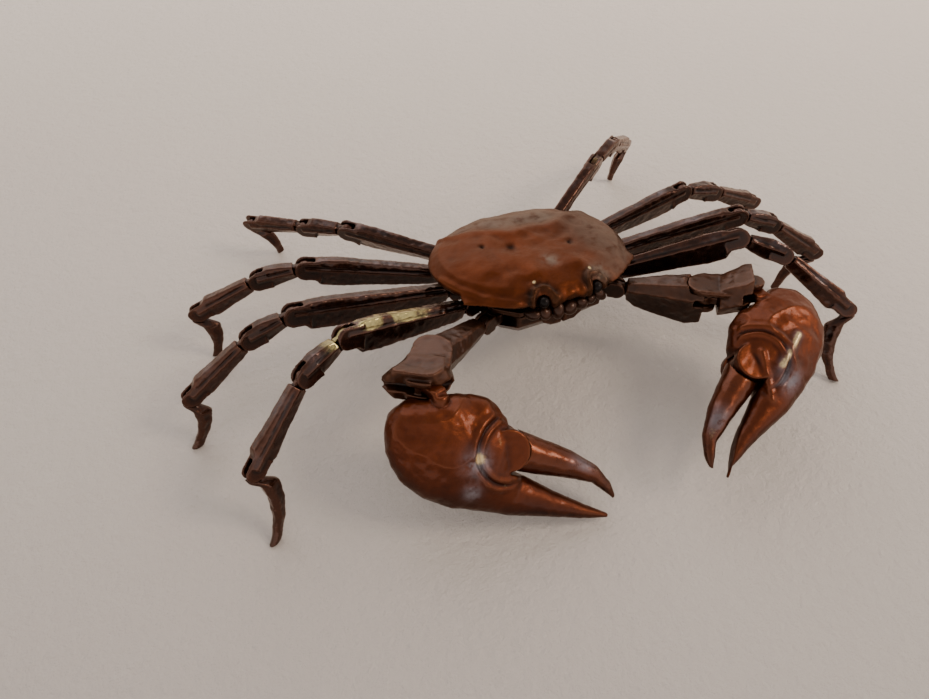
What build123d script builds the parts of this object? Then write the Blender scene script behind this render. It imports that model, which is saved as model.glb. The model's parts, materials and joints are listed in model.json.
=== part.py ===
"""Articulated crab figurine: a cast bronze crab whose ten limbs turn on real pins.

Millimetres, +Z up, feet on Z = 0. The body faces -Y. Every limb is a chain of castings: a coxa that
swings on an upright pin held between the two body plates, then tongue-and-fork knuckles, each with
its own pin, down to the hooked foot or the moving finger of the claw.
"""
from build123d import *
from collections import namedtuple
import math
import os

os.makedirs("parts", exist_ok=True)

# Stance of the body above the floor
BODY_X = 3.03
BODY_Y = 2.77
BODY_HEIGHT = 13.156
BODY_PITCH = -9.0
BODY_ROLL = 4.5

# Running fits
PIN_PLAY = 0.05
SIDE_PLAY = 0.1
END_PLAY = 0.2
TURN_PLAY = 0.15
SEAT_PLAY = 0.03
OVERRUN = 3.0

# Body plates, measured from the level of the hips
CARAPACE_WIDTH = 38.0
CARAPACE_FRONT = 15.2
CARAPACE_BACK = 12.8
CARAPACE_RIM = 4.6
CARAPACE_TOP = 8.1
CARAPACE_SEAT = 2.2
CARAPACE_WALL = 1.2
PLATE_GAP = 1.1
THORAX_DEPTH = 3.9
THORAX_FRONT = 12.2
THORAX_BACK = 11.9
PLATE_MARGIN = 1.15
FLAP_LENGTH = 15.0
FLAP_WIDTH = 9.0
FLAP_THICK = 0.9
EYE_RADIUS = 1.0
EYE_SPACING = 10.6
EYE_LEVEL = 4.9
EYE_SET_BACK = 0.9
STALK_RADIUS = 0.5
STALK_LENGTH = 2.6
MOUTH_WIDTH = 4.2
MOUTH_HEIGHT = 4.0
MOUTH_THICK = 1.0
MOUTH_GAP = 0.15
SCREW_RADIUS = 0.6
SCREW_HEAD = 1.1
SCREW_HEAD_THICK = 0.6
SCREW_BITE = 2.4
POST_RADIUS = 1.4

CORE_WIDTH = 17.0
CORE_WAIST = 12.2
THORAX_FLOOR_SHARE = 0.72
GROOVE_WIDTH = 0.5
GROOVE_DEPTH = 0.7
GROOVE_BACK = 2.3
FLAP_RING_SHARES = (1.0, 1.0, 0.92, 0.8, 0.62, 0.4)
FLAP_STEP_SHARE = 0.08
MOUTH_SHARES = ((0, -0.45), (0.55, -0.45), (0.9, -0.2), (1.0, 0.3), (0.8, 0.52), (0, 0.52))
MOUTH_BEVEL_SHARE = 0.3

# Half outlines of the carapace, from the middle of the front to the middle of the back: lobes,
# eye sockets and side tooth as straight cuts, then the smooth flank, in shares of the half width
# and of the depth in front or behind
FRONT_SHARES = ((0.0, 0.955), (0.09, 1.0), (0.2, 0.975), (0.235, 0.915), (0.325, 0.905),
                (0.37, 0.95), (0.55, 0.9), (0.74, 0.76), (0.93, 0.6), (0.9, 0.44))
PLAIN_SHARES = ((0.0, 0.98), (0.09, 0.985), (0.2, 0.975), (0.235, 0.97), (0.325, 0.955),
                (0.37, 0.94), (0.55, 0.86), (0.74, 0.7), (0.85, 0.54), (0.9, 0.44))
FLANK_SHARES = ((0.985, 0.18), (0.97, -0.25), (0.83, -0.6), (0.56, -0.9), (0.25, -0.985))
# Levels of the carapace: height between seat and top, then width, front and back, all as shares
CARAPACE_LEVEL_SHARES = ((0.0, 0.69, 0.83, 0.95), (0.42, 1.0, 1.0, 1.0), (0.55, 0.985, 0.975, 0.985),
                         (0.76, 0.9, 0.86, 0.9), (0.91, 0.7, 0.66, 0.7), (1.0, 0.4, 0.38, 0.4))
CAVITY_SHARES = ((-0.1, 0.58, 0.68), (0.5, 0.8, 0.76), (0.8, 0.55, 0.55))

# Hips: where each upright pin stands on the left half, and the mean heading of its limb
HIPS = {"claw": (11.0, -8.4, -33.0), "front": (11.2, -3.6, -25.0), "second": (11.2, 0.9, -9.0),
        "third": (10.4, 5.3, 7.0), "rear": (8.2, 9.3, 38.0)}
HIP_REACH = 3.1
HIP_PIN = 0.5
HIP_PIN_BITE = 0.9
COXA_RING = 1.55
COXA_THICK = 2.0

# A knuckle: radius of the fork's cheeks and of the tongue, tongue thickness, fork width, pin radius
Knuckle = namedtuple("Knuckle", "cheek tongue web width pin")
LIFT = Knuckle(cheek=1.45, tongue=1.15, web=1.1, width=2.7, pin=0.4)
KNEE = Knuckle(cheek=1.85, tongue=1.45, web=1.1, width=2.7, pin=0.45)
SHIN = Knuckle(cheek=1.65, tongue=1.3, web=1.0, width=2.5, pin=0.4)
FOOT = Knuckle(cheek=1.45, tongue=1.15, web=0.9, width=2.2, pin=0.4)
CLAW_LIFT = Knuckle(cheek=1.6, tongue=1.3, web=1.3, width=3.0, pin=0.5)
ELBOW = Knuckle(cheek=2.0, tongue=1.6, web=1.5, width=4.2, pin=0.55)
WRIST = Knuckle(cheek=1.9, tongue=1.5, web=1.4, width=3.8, pin=0.55)
FINGER = Knuckle(cheek=3.3, tongue=2.8, web=3.0, width=7.0, pin=0.8)

# Walking limbs: hinge-to-hinge lengths, and each side's angles at rest in degrees, which are the
# heading, then the slope of merus, carpus, propodus and dactyl, then the lean of the limb's plane
Limb = namedtuple("Limb", "lengths left right")
LIMBS = {
    "front": Limb((24.9, 8.7, 15.4, 14.1), (-34.5, 20.2, -15.9, -34.1, -83.0, 22.8),
                  (-15.1, 12.5, -19.3, -42.4, -82.7, 15.0)),
    "second": Limb((29.0, 8.0, 13.5, 10.7), (-19.4, 16.4, -16.5, -32.4, -116.2, -3.0),
                   (2.2, 5.9, -18.6, -37.2, -77.2, 5.8)),
    "third": Limb((25.6, 8.7, 12.9, 10.0), (-3.4, 16.9, -11.5, -21.5, -113.1, -2.7),
                  (17.7, 8.0, -12.2, -28.3, -93.3, 0.4)),
    "rear": Limb((20.7, 10.0, 12.9, 9.0), (32.3, 24.6, 4.2, -22.6, -98.9, -11.3),
                 (44.3, 6.9, -10.3, -9.6, -110.5, -21.5)),
}

# Section heights of the walking limbs: above and below the hinge line, and full width
LIMB_WIDTH = 2.9
SHIN_WIDTH = 2.7
DACTYL_WIDTH = 2.1
MERUS_TOP = 1.9
MERUS_KEEL = 2.1
CARPUS_TOP = 1.9
CARPUS_KEEL = 1.6
PROPODUS_TOP = 1.6
PROPODUS_KEEL = 1.5
# Stations of a casting: place along it, and the swell of its height there
MERUS_SHARES = ((0, 0.78), (0.75, 1.12), (1, 1.0))
CARPUS_SHARES = ((0, 0.74), (0.7, 1.06), (1, 1.0))
PROPODUS_SHARES = ((0, 0.9), (0.85, 1.05), (1, 1.0))
DACTYL_SHARES = (0, 0.25, 0.5, 0.75, 1)
DACTYL_TONGUE_TURN = 20.0
KNUCKLE_NECK_SHARE = 0.8
DACTYL_HEIGHT = 2.3
DACTYL_TIP = 0.8
DACTYL_BOW_SHARE = 0.13
BACK_FLAT_SHARE = 0.62
KEEL_FLAT_SHARE = 0.3
RIDGE_SHARE = 0.25
CHEEK_INSET = 0.1

# Claws
CLAW_MERUS_TOP = 3.0
CLAW_MERUS_KEEL = 3.9
CLAW_MERUS_WIDTH = 6.2
CLAW_MERUS_SHARES = ((0, 0.56), (0.35, 0.8), (0.8, 1.05), (1, 1.0))
CLAW_CARPUS_WIDTH = 9.6
CLAW_CARPUS_TOP = 3.1
CLAW_CARPUS_KEEL = 2.4
# Stations of the claw's carpus: place along it, then its reach outwards and inwards
CLAW_CARPUS_SHARES = ((0, 0.85, 0.78), (0.75, 1.35, 0.95), (1, 1.15, 0.7))
WRIST_SWEEPS = (-10.0, 0.0, 10.0)
HIP_SWEEPS = (-8.0, 0.0, 8.0)
COVER_RADIUS = 3.3
COVER_THICK = 0.9
PALM_LENGTH = 34.4
PALM_HEIGHT = 16.8
PALM_THICK = 9.8
PALM_WRIST_BACK = 0.6
PALM_WRIST_UP = 1.9
PALM_ROOT_ALONG = 4.0
PALM_ROOT_DOWN = 4.5
STEM_RADIUS = 1.2
FINGER_HINGE_ALONG = 14.2
FINGER_HINGE_DOWN = 3.6
FINGER_NECK = 1.9
FINGER_BASE_ALONG = 15.3
FINGER_BED_DOWN = 6.95
FINGER_BED_ALONG = 15.0

# Each claw: heading and slope of its merus, elbow bend, lengths, rise of the wrist above the elbow,
# the turns that set the palm on its wrist pin, the heading of its tongue, and the casting's scale
Claw = namedtuple("Claw", "heading slope merus bend carpus rise palm_turn palm_tilt palm_roll tongue scale")
CLAWS = {"left": Claw(-42.5, 4.7, 15.4, 3.6, 7.4, 2.4, -114.0, 21.9, 154.3, -60.5, 0.923),
         "right": Claw(-25.4, 3.4, 13.9, 31.4, 6.1, 0.6, 95.3, 19.4, 53.5, 49.4, 1.0)}

# Palm with its fixed finger, and the moving finger, in shares of the palm's length, height and
# thickness: place along, top, bottom, thickness
PALM_SHARES = ((-0.122, -0.238, -0.381, 0.24), (-0.084, -0.083, -0.571, 0.53),
               (0.01, 0.036, -0.768, 0.82), (0.13, 0.119, -0.869, 0.98),
               (0.262, 0.131, -0.869, 1.0), (0.378, 0.048, -0.833, 0.88),
               (0.523, -0.4, -0.81, 0.55), (0.7, -0.47, -0.726, 0.4),
               (0.87, -0.506, -0.649, 0.255), (0.94, -0.51, -0.608, 0.18), (1.0, -0.52, -0.562, 0.09))
FINGER_SHARES = ((0.445, -0.018, -0.4, 0.61), (0.58, -0.03, -0.37, 0.55),
                 (0.727, -0.054, -0.32, 0.45), (0.872, -0.12, -0.286, 0.29),
                 (0.96, -0.23, -0.345, 0.18), (1.0, -0.325, -0.372, 0.09))


def shifted(frame, along=0.0, up=0.0, across=0.0):
    """The frame moved along its own directions."""
    return frame * Location((along, up, across))


def turned(frame, about_x=0.0, about_y=0.0, about_z=0.0):
    """The frame turned about one of its own axes, or about several in the order X, Y, Z."""
    return frame * Location((0, 0, 0), (about_x, about_y, about_z))


def across_limb(frame, along, drop=0.0, slope=0.0):
    """The plane that cuts a limb square at a place along it."""
    return Plane(turned(turned(shifted(frame, along, drop), about_z=slope), about_y=90))


BODY = turned(Location((BODY_X, BODY_Y, BODY_HEIGHT)), about_x=BODY_PITCH, about_y=BODY_ROLL)
SIDES = {"left": 1, "right": -1}


def hip_frame(side, station):
    """X outwards along the limb before it swings, Z up the hip pin."""
    out, back, _ = HIPS[station]
    frame = shifted(BODY, SIDES[side] * out, back)
    return frame if side == "left" else turned(frame, about_z=180)


def swing(side, heading):
    """The turn about the hip pin that points a limb along a heading, backwards positive."""
    return SIDES[side] * heading


def lift_frame(side, station, heading, lean):
    """X along the limb, Y up in its plane, Z along the lift pin."""
    frame = shifted(turned(hip_frame(side, station), about_z=swing(side, heading)), HIP_REACH)
    return turned(turned(frame, about_x=90), about_x=-SIDES[side] * lean)


def limb_frames(side, station):
    """The frames of coxa, merus, carpus, propodus and dactyl of a walking limb at rest."""
    limb = LIMBS[station]
    heading, *slopes, lean = limb.left if side == "left" else limb.right
    frames = [turned(hip_frame(side, station), about_z=swing(side, heading))]
    here = lift_frame(side, station, heading, lean)
    before = 0.0
    for length, slope in zip(limb.lengths, slopes):
        here = turned(here, about_z=slope - before)
        frames.append(here)
        here = shifted(here, length)
        before = slope
    return frames, here, lean


def prism(plane, top, keel, width):
    """Six-sided limb section: flat back, full sides and a narrow keel."""
    with BuildSketch(plane) as section:
        Polygon(
            (-width * BACK_FLAT_SHARE / 2, top), (width * BACK_FLAT_SHARE / 2, top),
            (width / 2, top * RIDGE_SHARE), (width * KEEL_FLAT_SHARE / 2, -keel),
            (-width * KEEL_FLAT_SHARE / 2, -keel), (-width / 2, top * RIDGE_SHARE), align=None)
    return section.sketch


def tongue(frame, knuckle, reach, half_height):
    """Rounded tongue with its bore, running from the hinge to a place along the piece."""
    with BuildPart(mode=Mode.PRIVATE) as blade:
        with BuildSketch(Plane(frame).offset(-knuckle.web / 2)):
            Circle(knuckle.tongue)
            with Locations((reach / 2, 0)):
                Rectangle(reach, 2 * half_height)
        extrude(amount=knuckle.web)
        with BuildSketch(Plane(frame).offset(-knuckle.web)):
            Circle(knuckle.pin + PIN_PLAY)
        extrude(amount=2 * knuckle.web, mode=Mode.SUBTRACT)
    return blade.part


def cheeks(frame, knuckle, back):
    """The fork's two rounded cheeks as one block, before its slot is cut."""
    width = knuckle.width - 2 * CHEEK_INSET
    with BuildPart(mode=Mode.PRIVATE) as block:
        with BuildSketch(Plane(frame).offset(-width / 2)):
            Circle(knuckle.cheek)
            with Locations((-back / 2, 0)):
                Rectangle(back, 2 * knuckle.cheek - CHEEK_INSET)
        extrude(amount=width)
    return block.part


def slot(frame, knuckle, reach, half_height):
    """What the tongue needs between the cheeks."""
    back = knuckle.tongue + END_PLAY
    gap = knuckle.web + 2 * SIDE_PLAY
    with BuildPart(mode=Mode.PRIVATE) as space:
        with BuildSketch(Plane(frame).offset(-gap / 2)):
            with Locations(((reach - back) / 2, 0)):
                Rectangle(reach + back, 2 * half_height)
        extrude(amount=gap)
    return space.part


def pin(frame, knuckle):
    """The riveted pin, flush with the cheeks."""
    width = knuckle.width - 2 * CHEEK_INSET
    with BuildPart(mode=Mode.PRIVATE) as rod:
        with BuildSketch(Plane(frame).offset(-width / 2)):
            Circle(knuckle.pin)
        extrude(amount=width)
    return rod.part


def root_of(knuckle):
    """Where the full section of a piece may start, clear of the fork that carries it."""
    return knuckle.cheek + TURN_PLAY


def limb_segment(frame, length, inner, outer, shares, top, keel, width):
    """A casting with a tongue at its hip end and a fork with its pin at its far end."""
    start = root_of(inner)
    end = length - CHEEK_INSET
    with BuildPart() as casting:
        for place, swell in shares:
            cut = across_limb(frame, start + (end - start) * place)
            add(prism(cut, top * swell, keel * swell, width))
        loft(ruled=True)
        far = shifted(frame, length)
        add(cheeks(far, outer, outer.tongue + END_PLAY + outer.web))
        add(slot(far, outer, outer.cheek + OVERRUN, top + keel), mode=Mode.SUBTRACT)
        add(pin(far, outer))
        add(tongue(frame, inner, start + inner.web, inner.tongue * KNUCKLE_NECK_SHARE))
    return casting.part


def coxa(side, station, heading, lean, knuckle):
    """Ring that turns on the hip pin, and the fork that carries the limb."""
    ring = turned(hip_frame(side, station), about_z=swing(side, heading))
    lift = lift_frame(side, station, heading, lean)
    waist = knuckle.width - 2 * CHEEK_INSET
    neck = HIP_REACH - knuckle.tongue - END_PLAY
    with BuildPart() as casting:
        with BuildSketch(Plane(ring).offset(-COXA_THICK / 2)):
            Circle(COXA_RING)
            with Locations((neck / 2, 0)):
                Rectangle(neck, waist)
        extrude(amount=COXA_THICK)
        add(cheeks(lift, knuckle, HIP_REACH - COXA_RING))
        add(slot(lift, knuckle, knuckle.cheek + OVERRUN, 2 * knuckle.cheek), mode=Mode.SUBTRACT)
        add(pin(lift, knuckle))
        with BuildSketch(Plane(ring).offset(-COXA_THICK)):
            Circle(HIP_PIN + PIN_PLAY)
        extrude(amount=2 * COXA_THICK, mode=Mode.SUBTRACT)
    return casting.part


def dactyl(frame, length, inner):
    """Hooked foot: it leaves the knuckle above its chord and bows back down to a blunt point."""
    start = root_of(inner) / length
    bow = DACTYL_BOW_SHARE * length
    with BuildPart() as casting:
        for share in DACTYL_SHARES:
            place = start + (1 - start) * share
            rise = 4 * bow * place * (1 - place)
            slope = math.degrees(math.atan(4 * DACTYL_BOW_SHARE * (1 - 2 * place)))
            height = DACTYL_HEIGHT + (DACTYL_TIP - DACTYL_HEIGHT) * share
            width = DACTYL_WIDTH + (DACTYL_TIP - DACTYL_WIDTH) * share
            cut = across_limb(frame, length * place, rise, slope)
            add(prism(cut, height / 2, height / 2, width))
        loft(ruled=True)
        add(tongue(turned(frame, about_z=DACTYL_TONGUE_TURN), inner, root_of(inner) + inner.web,
                   inner.tongue * KNUCKLE_NECK_SHARE))
    return casting.part


def save(part, label):
    part.label = label
    export_step(part, f"parts/{label}.step")



def claw_frames(side):
    """The frames of the claw's merus, carpus, wrist pin and palm at rest."""
    claw = CLAWS[side]
    merus = turned(lift_frame(side, "claw", claw.heading, 0.0), about_z=claw.slope)
    elbow = turned(shifted(merus, claw.merus), about_x=-90)
    carpus = turned(elbow, about_z=claw.bend)
    wrist = shifted(carpus, claw.carpus, 0.0, claw.rise)
    palm = turned(turned(turned(wrist, about_z=claw.palm_turn), about_y=claw.palm_tilt),
                  about_x=claw.palm_roll)
    palm = shifted(palm, PALM_WRIST_BACK * claw.scale, -PALM_WRIST_UP * claw.scale)
    return merus, carpus, wrist, palm


def claw_merus(side):
    """Three-cornered arm that widens to the elbow, its top cut round for the carpus to turn."""
    claw = CLAWS[side]
    frame = claw_frames(side)[0]
    start = root_of(CLAW_LIFT)
    end = claw.merus - CHEEK_INSET
    gap = ELBOW.width / 2 - CHEEK_INSET
    block = turned(shifted(frame, claw.merus), about_x=-90)
    with BuildPart() as casting:
        for share, swell in CLAW_MERUS_SHARES:
            cut = across_limb(frame, start + (end - start) * share)
            add(prism(cut, CLAW_MERUS_TOP * swell, CLAW_MERUS_KEEL * swell, CLAW_MERUS_WIDTH * swell))
        loft(ruled=True)
        with BuildSketch(Plane(block).offset(gap)):
            Circle(COVER_RADIUS + TURN_PLAY)
        extrude(amount=OVERRUN, mode=Mode.SUBTRACT)
        add(cheeks(block, ELBOW, ELBOW.tongue + END_PLAY + ELBOW.web))
        add(slot(block, ELBOW, ELBOW.cheek + OVERRUN, CLAW_MERUS_WIDTH), mode=Mode.SUBTRACT)
        add(pin(block, ELBOW))
        add(tongue(frame, CLAW_LIFT, start + CLAW_LIFT.web, CLAW_LIFT.tongue * KNUCKLE_NECK_SHARE))
    return casting.part


def carpus_form(side, frame, play=0.0):
    """Body of the claw's carpus, pointed on its outer side, or the room it needs."""
    claw = CLAWS[side]
    start = root_of(ELBOW)
    end = claw.carpus - CHEEK_INSET + play
    with BuildPart(mode=Mode.PRIVATE) as form:
        for share, outer, inner in CLAW_CARPUS_SHARES:
            along = start + (end - start) * share
            out = SIDES[side] * (CLAW_CARPUS_WIDTH * outer / 2 + play)
            back = -SIDES[side] * (CLAW_CARPUS_WIDTH * inner / 2 + play)
            top = -CLAW_CARPUS_TOP - play
            keel = CLAW_CARPUS_KEEL + play
            with BuildSketch(Plane(turned(shifted(frame, along, 0.0, claw.rise * share), about_y=90))):
                Polygon((top, back * BACK_FLAT_SHARE), (top, out * BACK_FLAT_SHARE), (0, out),
                        (keel, out * BACK_FLAT_SHARE), (keel, back * BACK_FLAT_SHARE), (0, back), align=None)
        loft(ruled=True)
    return form.part


def claw_carpus(side):
    """Broad plated wrist piece: its top plate runs back over the elbow as a round cover."""
    _, frame, wrist, _ = claw_frames(side)
    start = root_of(ELBOW)
    cover = ELBOW.width / 2 - CHEEK_INSET + SIDE_PLAY
    with BuildPart() as casting:
        add(carpus_form(side, frame))
        with BuildSketch(Plane(frame).offset(cover)):
            Circle(COVER_RADIUS)
            with Locations((start, 0)):
                Rectangle(COVER_RADIUS, 2 * COVER_RADIUS)
        extrude(amount=COVER_THICK)
        add(cheeks(wrist, WRIST, WRIST.tongue + END_PLAY + WRIST.web))
        add(slot(wrist, WRIST, WRIST.cheek + OVERRUN, CLAW_CARPUS_WIDTH), mode=Mode.SUBTRACT)
        add(pin(wrist, WRIST))
        add(tongue(frame, ELBOW, start + ELBOW.web, ELBOW.tongue * KNUCKLE_NECK_SHARE))
    return casting.part


def oval_loft(frame, shares, scale):
    """Smooth casting through upright ovals, placed in shares of the palm's sizes."""
    with BuildPart(mode=Mode.PRIVATE) as form:
        for along, top, bottom, thick in shares:
            middle = (top + bottom) / 2 * PALM_HEIGHT * scale
            with BuildSketch(across_limb(frame, along * PALM_LENGTH * scale, middle)):
                Ellipse(thick * PALM_THICK * scale / 2, (top - bottom) / 2 * PALM_HEIGHT * scale)
        loft(ruled=True)
    return form.part


def claw_palm(side):
    """Swollen palm cast in one with its fixed finger, forked for the moving finger."""
    claw = CLAWS[side]
    scale = claw.scale
    _, carpus, wrist, frame = claw_frames(side)
    hinge = shifted(frame, FINGER_HINGE_ALONG * scale, -FINGER_HINGE_DOWN * scale)
    away = WRIST.cheek + STEM_RADIUS + TURN_PLAY
    reach = math.hypot(WRIST.cheek, WRIST.width / 2) + TURN_PLAY
    stem_start = (turned(wrist, about_z=claw.tongue) * Location((away, 0, 0))).position
    stem_end = (frame * Location((PALM_ROOT_ALONG * scale, -PALM_ROOT_DOWN * scale, 0))).position
    with BuildPart() as casting:
        add(oval_loft(frame, PALM_SHARES, scale))
        with BuildSketch(Plane(frame).offset(-PALM_THICK)):
            with Locations((FINGER_BED_ALONG * scale, -FINGER_BED_DOWN * scale)):
                Rectangle(PALM_LENGTH, PALM_HEIGHT, align=(Align.MIN, Align.MIN))
        extrude(amount=2 * PALM_THICK, mode=Mode.SUBTRACT)
        with BuildSketch(Plane(hinge).offset(-FINGER.width * scale / 2)):
            Circle(FINGER.cheek * scale)
        extrude(amount=FINGER.width * scale)
        slit = FINGER.web * scale + 2 * SIDE_PLAY
        with BuildSketch(Plane(hinge).offset(-slit / 2)):
            Circle(FINGER.tongue * scale + END_PLAY)
            Rectangle(PALM_LENGTH, PALM_HEIGHT, align=(Align.MIN, Align.MIN))
            Rectangle(PALM_LENGTH, FINGER.tongue * scale + END_PLAY, align=(Align.MIN, Align.MAX))
        extrude(amount=slit, mode=Mode.SUBTRACT)
        with BuildSketch(Plane(hinge).offset(-FINGER.width * scale / 2)):
            Circle(FINGER.pin * scale)
        extrude(amount=FINGER.width * scale)
        with Locations(wrist):
            Sphere(reach, mode=Mode.SUBTRACT)
        for sweep in WRIST_SWEEPS:
            swept = turned(wrist, about_z=sweep) * wrist.inverse() * carpus
            add(carpus_form(side, swept, TURN_PLAY), mode=Mode.SUBTRACT)
        add(tongue(turned(wrist, about_z=claw.tongue), WRIST, away, STEM_RADIUS))
        with BuildSketch(Plane(origin=stem_start, z_dir=stem_end - stem_start)):
            Circle(STEM_RADIUS)
        extrude(amount=(stem_end - stem_start).length)
    return casting.part


def claw_finger(side):
    """Moving finger: a round tongue between the palm's cheeks and a curved tapering blade."""
    scale = CLAWS[side].scale
    frame = claw_frames(side)[3]
    hinge = shifted(frame, FINGER_HINGE_ALONG * scale, -FINGER_HINGE_DOWN * scale)
    web = FINGER.web * scale
    with BuildPart() as casting:
        add(oval_loft(frame, FINGER_SHARES, scale))
        with Locations(hinge):
            Cylinder(FINGER.cheek * scale + TURN_PLAY, 2 * PALM_THICK, mode=Mode.SUBTRACT)
        with BuildSketch(Plane(hinge).offset(-web / 2)):
            Circle(FINGER.tongue * scale)
            with Locations((FINGER.cheek * scale / 2 + FINGER_NECK / 2, 0)):
                Rectangle(FINGER.cheek * scale + FINGER_NECK, 2 * FINGER_NECK * scale)
        extrude(amount=web)
        with Locations(hinge):
            Cylinder(FINGER.pin * scale + PIN_PLAY, 2 * PALM_THICK, mode=Mode.SUBTRACT)
    return casting.part



def carapace_outline(plane, width, front, back, edge_shares):
    """Closed outline of the shell at one level, alike on both sides."""
    half = [(x * width, -y * front) for x, y in edge_shares]
    flank = [(x * width, -y * (front if y > 0 else back)) for x, y in FLANK_SHARES]
    mirrored = [(-x, y) for x, y in half]
    with BuildSketch(plane) as outline:
        with BuildLine():
            Polyline(*half)
            Spline(half[-1], *flank, (0, back),
                   *[(-x, y) for x, y in reversed(flank)], mirrored[-1])
            Polyline(*reversed(mirrored))
        make_face()
    return outline.sketch


def carapace():
    """Domed shell with its flanks turned under, hollow, with two posts for the body screws."""
    rise = CARAPACE_TOP - CARAPACE_SEAT
    with BuildPart() as shell:
        for share, width, front, back in CARAPACE_LEVEL_SHARES:
            plane = Plane(shifted(BODY, 0.0, 0.0, CARAPACE_SEAT + rise * share))
            edge = FRONT_SHARES if width == 1.0 else PLAIN_SHARES
            add(carapace_outline(plane, CARAPACE_WIDTH / 2 * width, CARAPACE_FRONT * front,
                                 CARAPACE_BACK * back, edge))
        loft(ruled=True)
        for share, width, depth in CAVITY_SHARES:
            plane = Plane(shifted(BODY, 0.0, 0.0, CARAPACE_SEAT + rise * share))
            with BuildSketch(plane):
                Ellipse(CARAPACE_WIDTH / 2 * width, CARAPACE_BACK * depth)
        loft(mode=Mode.SUBTRACT)
        for place in screw_places():
            with BuildSketch(Plane(shifted(BODY, 0.0, place, CARAPACE_SEAT))):
                Circle(POST_RADIUS)
            extrude(amount=rise - CARAPACE_WALL)
            with BuildSketch(Plane(shifted(BODY, 0.0, place, CARAPACE_SEAT))):
                Circle(SCREW_RADIUS + SEAT_PLAY)
            extrude(amount=SCREW_BITE + SEAT_PLAY, mode=Mode.SUBTRACT)
        for sign in SIDES.values():
            with Locations(eye_place(sign)):
                Sphere(EYE_RADIUS + TURN_PLAY, mode=Mode.SUBTRACT)
            with BuildSketch(Plane(turned(eye_place(sign), about_x=-90))):
                Circle(STALK_RADIUS + SEAT_PLAY)
            extrude(amount=STALK_LENGTH + TURN_PLAY, mode=Mode.SUBTRACT)
    return shell.part


def screw_places():
    """How far behind the middle each body screw stands."""
    return (-THORAX_FRONT / 2, THORAX_BACK / 2)


def eye_place(sign):
    return shifted(BODY, sign * EYE_SPACING / 2, EYE_SET_BACK - CARAPACE_FRONT, EYE_LEVEL)


def hip_outline(margin):
    """Outline of the body plates: it passes a margin outside every hip pin."""
    right = [(0.0, -THORAX_FRONT), (CORE_WIDTH / 2, -THORAX_FRONT)]
    for out, back, heading in HIPS.values():
        angle = math.radians(heading)
        right.append((out + margin * math.cos(angle), back + margin * math.sin(angle)))
    right += [(CORE_WAIST / 2, THORAX_BACK), (0.0, THORAX_BACK)]
    return right[1:-1] + [(-x, y) for x, y in reversed(right[1:-1])]


def hip_circles(plane, radius):
    """Sketch of a circle round each of the ten hip pins."""
    with BuildSketch(plane, mode=Mode.PRIVATE) as circles:
        with Locations(*[(sign * out, back) for sign in SIDES.values() for out, back, _ in HIPS.values()]):
            Circle(radius)
    return circles.sketch


def hip_reliefs(plane):
    """Sketch of the room each coxa's fork sweeps beside its pin."""
    with BuildSketch(plane, mode=Mode.PRIVATE) as reliefs:
        for side, sign in SIDES.items():
            for station, (out, back, _) in HIPS.items():
                knuckle = CLAW_LIFT if station == "claw" else LIFT
                inner = HIP_REACH - knuckle.cheek - TURN_PLAY
                for sweep in HIP_SWEEPS:
                    angle = sign * rest_heading(side, station) + sweep + (0 if sign > 0 else 180)
                    with Locations(Location((sign * out, back, 0), (0, 0, angle))):
                        with Locations((inner, 0)):
                            Rectangle(HIP_REACH, knuckle.width, align=(Align.MIN, Align.CENTER))
    return reliefs.sketch


def rest_heading(side, station):
    """Heading of a limb at rest, backwards positive."""
    if station == "claw":
        return CLAWS[side].heading
    limb = LIMBS[station]
    return (limb.left if side == "left" else limb.right)[0]


def hip_plate():
    """Upper body plate: closes the hips and carries the carapace."""
    thick = CARAPACE_SEAT - PLATE_GAP
    base = Plane(shifted(BODY, 0.0, 0.0, PLATE_GAP))
    with BuildPart() as plate:
        with BuildSketch(base):
            Polygon(*hip_outline(PLATE_MARGIN), align=None)
            with Locations(*[(0, place) for place in screw_places()]):
                Circle(SCREW_RADIUS + SEAT_PLAY, mode=Mode.SUBTRACT)
        extrude(amount=thick)
        extrude(hip_reliefs(base), amount=thick, mode=Mode.SUBTRACT)
        extrude(hip_circles(base, HIP_PIN + SEAT_PLAY), amount=HIP_PIN_BITE, mode=Mode.SUBTRACT)
    return plate.part


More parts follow.
